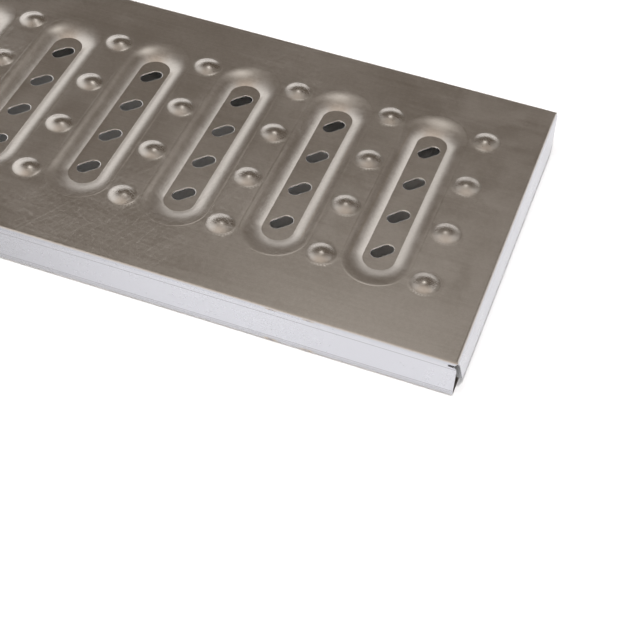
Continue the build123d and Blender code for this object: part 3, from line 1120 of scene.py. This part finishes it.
@dataclass(frozen=True)
class SheetSteel:
    """Cold-rolled stainless sheet with handling marks, and painted light and shade on its upright
    faces, studs and slots.
    """

    name: str
    grain: Grain
    deck: DeckSheet
    rib_xs: tuple[float, ...]
    pressed: bool = True
    base: tuple[float, float, float] = (0.575, 0.53, 0.475)
    pale: tuple[float, float, float] = (0.665, 0.62, 0.565)
    # Painted shade in the slots: a darker colour for their cut walls.
    slot_wall_shade_tone: tuple[float, float, float] = (0.44, 0.41, 0.385)
    # The next two colours are painted light on the skirts and flanges: a pale bluish painted
    # reflection of the floor, and a dark painted shade.
    pale_reflection_tint: tuple[float, float, float] = (0.56, 0.572, 0.62)
    painted_shade_tone: tuple[float, float, float] = (0.165, 0.165, 0.182)
    # Scuff and painted reflection: the pale colour of the studs' fronts, also their painted
    # highlight rings.
    scuff_and_sheen: tuple[float, float, float] = (0.70, 0.655, 0.60)
    # Painted highlight on the slots' rims.
    rim_glint_tone: tuple[float, float, float] = (0.90, 0.88, 0.85)
    straw: tuple[float, float, float] = (0.50, 0.37, 0.20)
    blue: tuple[float, float, float] = (0.22, 0.25, 0.36)
    roughness: float = 0.33
    rubbed_reach: tuple[float, float] = (110.0, 10.0)
    # Where the upright faces turn from painted shade to the painted floor reflection, towards the
    # plank's ends.
    end_light_reach: tuple[float, float] = (430.0, 110.0)
    # How far below the deck the painted shade line under the top fold runs.
    fold_shade_drop: float = 3.5
    weld_offset: float = 9.5
    pattern_margin: float = 12.0
    relief: float = 0.00003

    def stud_distance(self, x: Value, y: Value) -> tuple[Value, Value, Value]:
        """Distance from the nearest stud's middle, and its parts along x and y."""
        press = self.deck.pressing
        dx = (x - press.pitch / 2).cell(press.pitch)
        dy = (y - press.stud_ys[0]).cell(press.stud_spacing)
        return (dx * dx + dy * dy).root(), dx, dy

    def slot_distance(self, x: Value, y: Value) -> Value:
        """Distance outside the nearest slot's outline."""
        press = self.deck.pressing
        dx = x.cell(press.pitch)
        dy = (y - press.slot_ys[0]).cell(press.slot_spacing)
        lean = math.radians(press.slot_lean)
        u = dx * math.cos(lean) + dy * math.sin(lean)
        v = dy * math.cos(lean) - dx * math.sin(lean)
        over = (abs(u) - press.slot_straight).above(0.0)
        return (over * over + v * v).root() - press.slot_half_width

    def use(self, g: Graph, x: Value, y: Value, on_deck: Value, cloud: Value, colour: Any,
            rough: Value) -> tuple[bpy.types.NodeSocket, Value]:
        """Scuffs the studs' fronts and paints a reflection of the ceiling on them, paints
        highlights round their feet and on the slots' rims, and paints shade on the slots' cut
        walls.

        Args:
            g: the material's graph.
            x: place along the plank, in millimetres.
            y: place across it.
            on_deck: 1 on the deck and the studs, 0 below it.
            cloud: slow noise that breaks the marks up.
            colour: the sheet's colour so far.
            rough: its roughness so far.

        Returns:
            The new colour and roughness.
        """
        press = self.deck.pressing
        margin = self.pattern_margin
        r, dx, dy = self.stud_distance(x, y)
        front = (dx * 0.25 - dy) / press.stud_radius
        rows = abs(x).ramp(press.stud_xs[-1] + margin, press.stud_xs[-1] + margin - 1.0)
        rows = rows * on_deck * abs(y - press.shift).ramp(68.0, 67.0)
        # Scuffing and a painted reflection of the ceiling on each stud's front.
        scuff_and_reflection = r.ramp(press.stud_radius, press.stud_radius * 0.55)
        scuff_and_reflection = scuff_and_reflection * front.ramp(0.0, 0.5) * rows * cloud.ramp(0.3, 0.55)
        # Painted highlight along the ridge round each stud's foot.
        collar_highlight = r.line(press.stud_ring, 0.5) * rows
        burnished = r.ramp(press.stud_radius, press.stud_radius * 0.7) * rows
        inside = abs(y - press.shift).ramp(press.floor_straight + 9.0, press.floor_straight + 8.0)
        last = press.trough_xs[-1] + margin
        inside = inside * abs(x).ramp(last, last - 1.0)
        edge = self.slot_distance(x, y)
        # Painted highlight: a near-white band round each slot, also smoother.
        rim = edge.ramp(0.55, 0.1) * inside
        # Painted shade on the slots' cut walls.
        slot_wall_shade = edge.ramp(0.03, -0.02) * inside
        marks = ((scuff_and_reflection * 0.6, self.scuff_and_sheen), (collar_highlight * 0.4, self.scuff_and_sheen),
                 (rim * 0.9, self.rim_glint_tone), (slot_wall_shade * 0.7, self.slot_wall_shade_tone))
        for share, shade in marks:
            colour = g.mix(share, colour, shade)
        return colour, rough + scuff_and_reflection * 0.10 - rim * 0.10 - burnished * 0.08

    def heat(self, g: Graph, x: Value, y: Value, z: Value, cloud: Value,
             colour: Any) -> bpy.types.NodeSocket:
        """Tints the underside beside each rib's welds.

        Args:
            g: the material's graph.
            x: place along the plank, in millimetres.
            y: place across it.
            z: height.
            cloud: slow noise that breaks the tint up.
            colour: the sheet's colour so far.

        Returns:
            The new colour.
        """
        under = z.ramp(self.deck.deck_z - 0.45, self.deck.deck_z - 0.7)
        under = under * abs(y).ramp(self.deck.half_width - 0.35, self.deck.half_width - 0.6)
        tints = ((5.0, 0.5, 0.30, 0.8, self.straw), (2.2, 0.3, 0.35, 0.6, self.blue))
        for rib_x in self.rib_xs:
            near = abs(abs(x - rib_x) - self.weld_offset)
            for reach, full, least, share, shade in tints:
                patch = near.ramp(reach, full) * under * cloud.ramp(least, 0.6)
                colour = g.mix(patch * share, colour, shade)
        return colour

    def material(self) -> bpy.types.Material:
        """Makes the finish.

        Returns:
            The material.
        """
        deck = self.deck
        g = Graph(bpy.data.materials.new(self.name))
        place = g.place()
        x, y, z = g.axes(place)
        fine = g.noise(g.stretched(place, self.grain.value), 1.0, 4.0, 0.6)
        grain = g.noise(place, 1300.0, 3.0, 0.7)
        mottle = g.noise(place, 420.0, 3.0, 0.65)
        broad = g.noise(place, 9.0, 3.0, 0.6)
        cloud = g.noise(place, 38.0, 4.0, 0.62, 0.6)
        scratch_a = g.cracks(g.stretched(place, (26.0, 240.0, 120.0), 23.0), 1.0)
        scratch_b = g.cracks(g.stretched(place, (32.0, 300.0, 150.0), -61.0), 1.0)
        scratches = (scratch_a.ramp(0.012, 0.0) + scratch_b.ramp(0.009, 0.0)).below(1.0)
        scratches = scratches * broad.ramp(0.42, 0.62)
        swirl = g.cracks(g.stretched(place, (210.0, 90.0, 120.0), 38.0), 1.0, 0.8).ramp(0.05, 0.0)
        # The second ramp is painted light: the upright faces get lighter towards the ends.
        near_end, end_light = (abs(x).ramp(deck.half_length - far, deck.half_length - near)
                             for far, near in (self.rubbed_reach, self.end_light_reach))
        rubbed = (near_end * cloud.ramp(0.2, 0.75)).below(1.0)
        on_deck = z.ramp(deck.deck_z - 0.6, deck.deck_z - 0.2)
        skirt = abs(y).ramp(deck.half_width - 1.6, deck.half_width - 0.4)
        flange = abs(x).ramp(deck.half_length - 2.8, deck.half_length - 1.6)
        upright = (skirt + flange).below(1.0)

        tone = cloud * 0.15 + broad * 0.15 + fine * 0.2 + grain * 0.25 + mottle * 0.25
        colour = g.mix(tone.ramp(0.40, 0.60), self.base, self.pale)
        colour = g.mix(rubbed * 0.4, colour, self.pale)
        # Painted light on the skirts and flanges: painted shade along the plank's middle, a pale
        # bluish painted reflection of the floor near the ends, darker below the foot crease.
        upright_light_and_shade = g.mix(end_light, self.painted_shade_tone, self.pale_reflection_tint)
        # Painted shade: dark lines just below the top fold and along the foot crease.
        fold_shade_lines = (z.line(deck.deck_z - self.fold_shade_drop, 0.35)
                       + z.line(deck.crease_height + 0.3, 0.4))
        shaded_foot = z.ramp(deck.crease_height, deck.crease_height - 0.8)
        upright_light_and_shade = g.mix(fold_shade_lines * 0.7 + shaded_foot * 0.3, upright_light_and_shade, self.painted_shade_tone)
        colour = g.mix(upright * 0.85, colour, upright_light_and_shade)
        rough = cloud * 0.10 + fine * 0.10 + broad * 0.06 + mottle * 0.10 + (self.roughness - 0.18)
        rough = rough + scratches * 0.10 + rubbed * 0.06 - upright * 0.05
        height = fine * 0.35 + grain * 0.5 + mottle * 0.5 - scratches * 0.9 - swirl * near_end * 0.5
        if self.pressed:
            colour, rough = self.use(g, x, y, on_deck, cloud, colour, rough)
        colour = self.heat(g, x, y, z, cloud, colour)
        normal = g.bump(height, self.relief, 0.6)
        return g.surface(Base_Color=colour, Roughness=rough, Metallic=1.0, Normal=normal)


@dataclass(frozen=True)
class WeldMetal:
    """Weld metal with heat colours and a little soot."""

    name: str = "weld_bead_metal"
    bright: tuple[float, float, float] = (0.62, 0.60, 0.58)
    straw: tuple[float, float, float] = (0.58, 0.42, 0.22)
    blue: tuple[float, float, float] = (0.20, 0.26, 0.42)
    soot: tuple[float, float, float] = (0.10, 0.09, 0.085)
    roughness: float = 0.38

    def material(self) -> bpy.types.Material:
        """Makes the finish.

        Returns:
            The material.
        """
        g = Graph(bpy.data.materials.new(self.name))
        place = g.place()
        cloud = g.noise(place, 260.0, 3.0)
        patch = g.noise(place, 120.0, 2.0)
        grain = g.noise(place, 3000.0, 3.0)
        colour = g.mix(cloud.ramp(0.4, 0.62), self.bright, self.straw)
        colour = g.mix(patch.ramp(0.52, 0.68) * 0.8, colour, self.blue)
        colour = g.mix(cloud.ramp(0.42, 0.3) * 0.6, colour, self.soot)
        rough = patch * 0.2 + grain * 0.1 + (self.roughness - 0.15)
        return g.surface(Base_Color=colour, Roughness=rough, Metallic=1.0,
                         Normal=g.bump(grain, 0.00004, 0.7))


# ------------------------------------------------------------------ studio
@dataclass
class Studio:
    """A pale floor in a white room with a duller, warm ceiling and one large dim alcove, high up.
    """

    floor_z: float
    floor_size: float = 12.0
    bright: tuple[float, float, float] = (1.12, 1.12, 1.14)
    dim: tuple[float, float, float] = (0.138, 0.114, 0.094)
    ceiling: tuple[float, float, float] = (0.80, 0.70, 0.62)
    alcove_direction: tuple[float, float, float] = (-0.12, 0.665, 0.737)
    alcove_outer: float = 40.0
    alcove_inner: float = 31.0
    ceiling_from: float = 0.80
    overhead: float = 1.6
    overhead_spread: float = 5.0
    overhead_lean: float = 14.0
    window_direction: tuple[float, float, float] = (0.07, 0.47, 0.88)
    window_distance: float = 2.0
    window_size: float = 0.36
    window_power: float = 1.15

    def floor(self) -> bpy.types.Object:
        """Makes the floor.

        Returns:
            The floor.
        """
        half = self.floor_size / 2
        corners = [(-half, -half), (half, -half), (half, half), (-half, half)]
        mesh = bpy.data.meshes.new("studio_floor")
        mesh.from_pydata([(x, y, self.floor_z) for x, y in corners], [], [(0, 1, 2, 3)])
        made = linked("studio_floor", mesh)
        g = Graph(bpy.data.materials.new("studio_floor_paint"))
        speck = g.noise(g.place(), 30.0, 2.0)
        colour = g.mix(speck, (0.93, 0.93, 0.93), (0.95, 0.95, 0.95))
        mesh.materials.append(g.surface(Base_Color=colour, Roughness=0.9, Metallic=0.0))
        return made

    def room(self) -> None:
        """Lights the world: white walls, a duller ceiling and one large dim alcove."""
        world = bpy.data.worlds.new("studio_room")
        g = Graph(world, "ShaderNodeOutputWorld")
        seen = g.node("ShaderNodeTexCoord").outputs["Generated"]
        outer, inner = (math.cos(math.radians(a)) for a in (self.alcove_outer, self.alcove_inner))
        shades = [
            ((0.0, 0.0, 1.0), self.ceiling_from, 1.0, self.ceiling),
            (self.alcove_direction, outer, inner, self.dim),
        ]
        colour = self.bright
        for direction, begin, full, shade in shades:
            dot = g.node("ShaderNodeVectorMath", {"operation": "DOT_PRODUCT"},
                         {0: seen, 1: direction})
            facing = Value(g, dot.outputs["Value"])
            colour = g.mix(facing.ramp(begin, full), colour, shade)
        g.end(g.node("ShaderNodeBackground", None, {"Color": colour}))
        bpy.context.scene.world = world

    def lamps(self) -> None:
        """Hangs the overhead light, which only the floor shows, and a soft window."""
        sun = bpy.data.lights.new("overhead", "SUN")
        sun.energy = self.overhead
        sun.angle = math.radians(self.overhead_spread)
        overhead = linked("overhead", sun)
        overhead.rotation_euler = (math.radians(self.overhead_lean), 0.0, 0.0)
        overhead.visible_glossy = False
        window = bpy.data.lights.new("window", "AREA")
        window.energy = self.window_power
        window.size = self.window_size
        direction = Vector(self.window_direction).normalized()
        lamp = linked("window", window)
        lamp.location = direction * self.window_distance
        lamp.rotation_euler = direction.to_track_quat("Z", "Y").to_euler()


@dataclass(frozen=True)
class Viewpoint:
    """Where the viewer stands, in metres from the middle of the end fold, and the camera's hold."""

    place: tuple[float, float, float] = (0.06687, -0.56420, 0.54084)
    aim: tuple[float, float, float] = (-0.07259, -0.09814, 0.0)
    lens: float = 84.31
    roll: float = 4.209
    film_width: float = 36.0
    clip: tuple[float, float] = (0.01, 50.0)

    def camera(self, end: Vector) -> bpy.types.Object:
        """Makes the camera.

        Args:
            end: middle of the deck's end fold, from which place and aim are measured.

        Returns:
            The camera.
        """
        eye = end + Vector(self.place)
        ahead = (end + Vector(self.aim) - eye).normalized()
        level = ahead.cross(Vector((0.0, 0.0, 1.0))).normalized()
        upward = level.cross(ahead)
        tilt = math.radians(self.roll)
        right = level * math.cos(tilt) + upward * math.sin(tilt)
        top = upward * math.cos(tilt) - level * math.sin(tilt)
        data = bpy.data.cameras.new("viewer")
        data.lens = self.lens
        data.sensor_width = self.film_width
        data.clip_start, data.clip_end = self.clip
        made = linked("viewer", data)
        turn = Matrix((right, top, -ahead)).transposed()
        made.matrix_world = Matrix.Translation(eye) @ turn.to_4x4()
        bpy.context.scene.camera = made
        return made


# ------------------------------------------------------------------ putting it together
def wear(piece: bpy.types.Object, material: bpy.types.Material) -> None:
    """Gives an object one material in place of any that it has."""
    piece.data.materials.clear()
    piece.data.materials.append(material)


def stand_for(piece: bpy.types.Object, node: str, material: bpy.types.Material) -> None:
    """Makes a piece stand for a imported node.

    Args:
        piece: the detailed piece.
        node: the node that it takes the place of.
        material: the finish of both.
    """
    wear(piece, material)
    for material_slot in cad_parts[node].material_slots:
        material_slot.material = material
    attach(piece, "root")
    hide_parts(node)
    LOG.info("%s: %d faces, stands for %s", piece.name, len(piece.data.polygons), node)


def main() -> None:
    """Builds the plank's pieces in order, then the studio and the camera."""
    logging.basicConfig(level=logging.INFO, format="%(name)s %(message)s")
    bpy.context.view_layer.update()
    low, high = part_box("deck_panel")
    deck = DeckSheet(low, high)
    ribs = [CrossRib(number, *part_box(f"cross_rib_{number}")) for number in (1, 2, 3, 4)]
    rib_xs = tuple(rib.x for rib in ribs)
    sheet_steel = SheetSteel("rolled_sheet_steel", Grain.ALONG, deck, rib_xs).material()
    rib_steel = SheetSteel("rib_steel", Grain.ACROSS, deck, rib_xs, pressed=False).material()
    weld_metal = WeldMetal().material()
    stand_for(deck.build(), "deck_panel", sheet_steel)
    for rib in ribs:
        stand_for(rib.build(), f"cross_rib_{rib.number}", rib_steel)
        beads = WeldBeads(rib, deck.pressing)
        stand_for(beads.build(), f"cross_rib_{rib.number}_welds", weld_metal)
    studio = Studio(low.z - FLOOR_GAP)
    studio.floor()
    studio.room()
    studio.lamps()
    Viewpoint().camera(Vector((high.x, 0.0, deck.deck_z * MM)))
    bpy.context.scene.view_settings.view_transform = "Standard"
    bpy.context.view_layer.update()


if __name__ == "__main__":
    main()
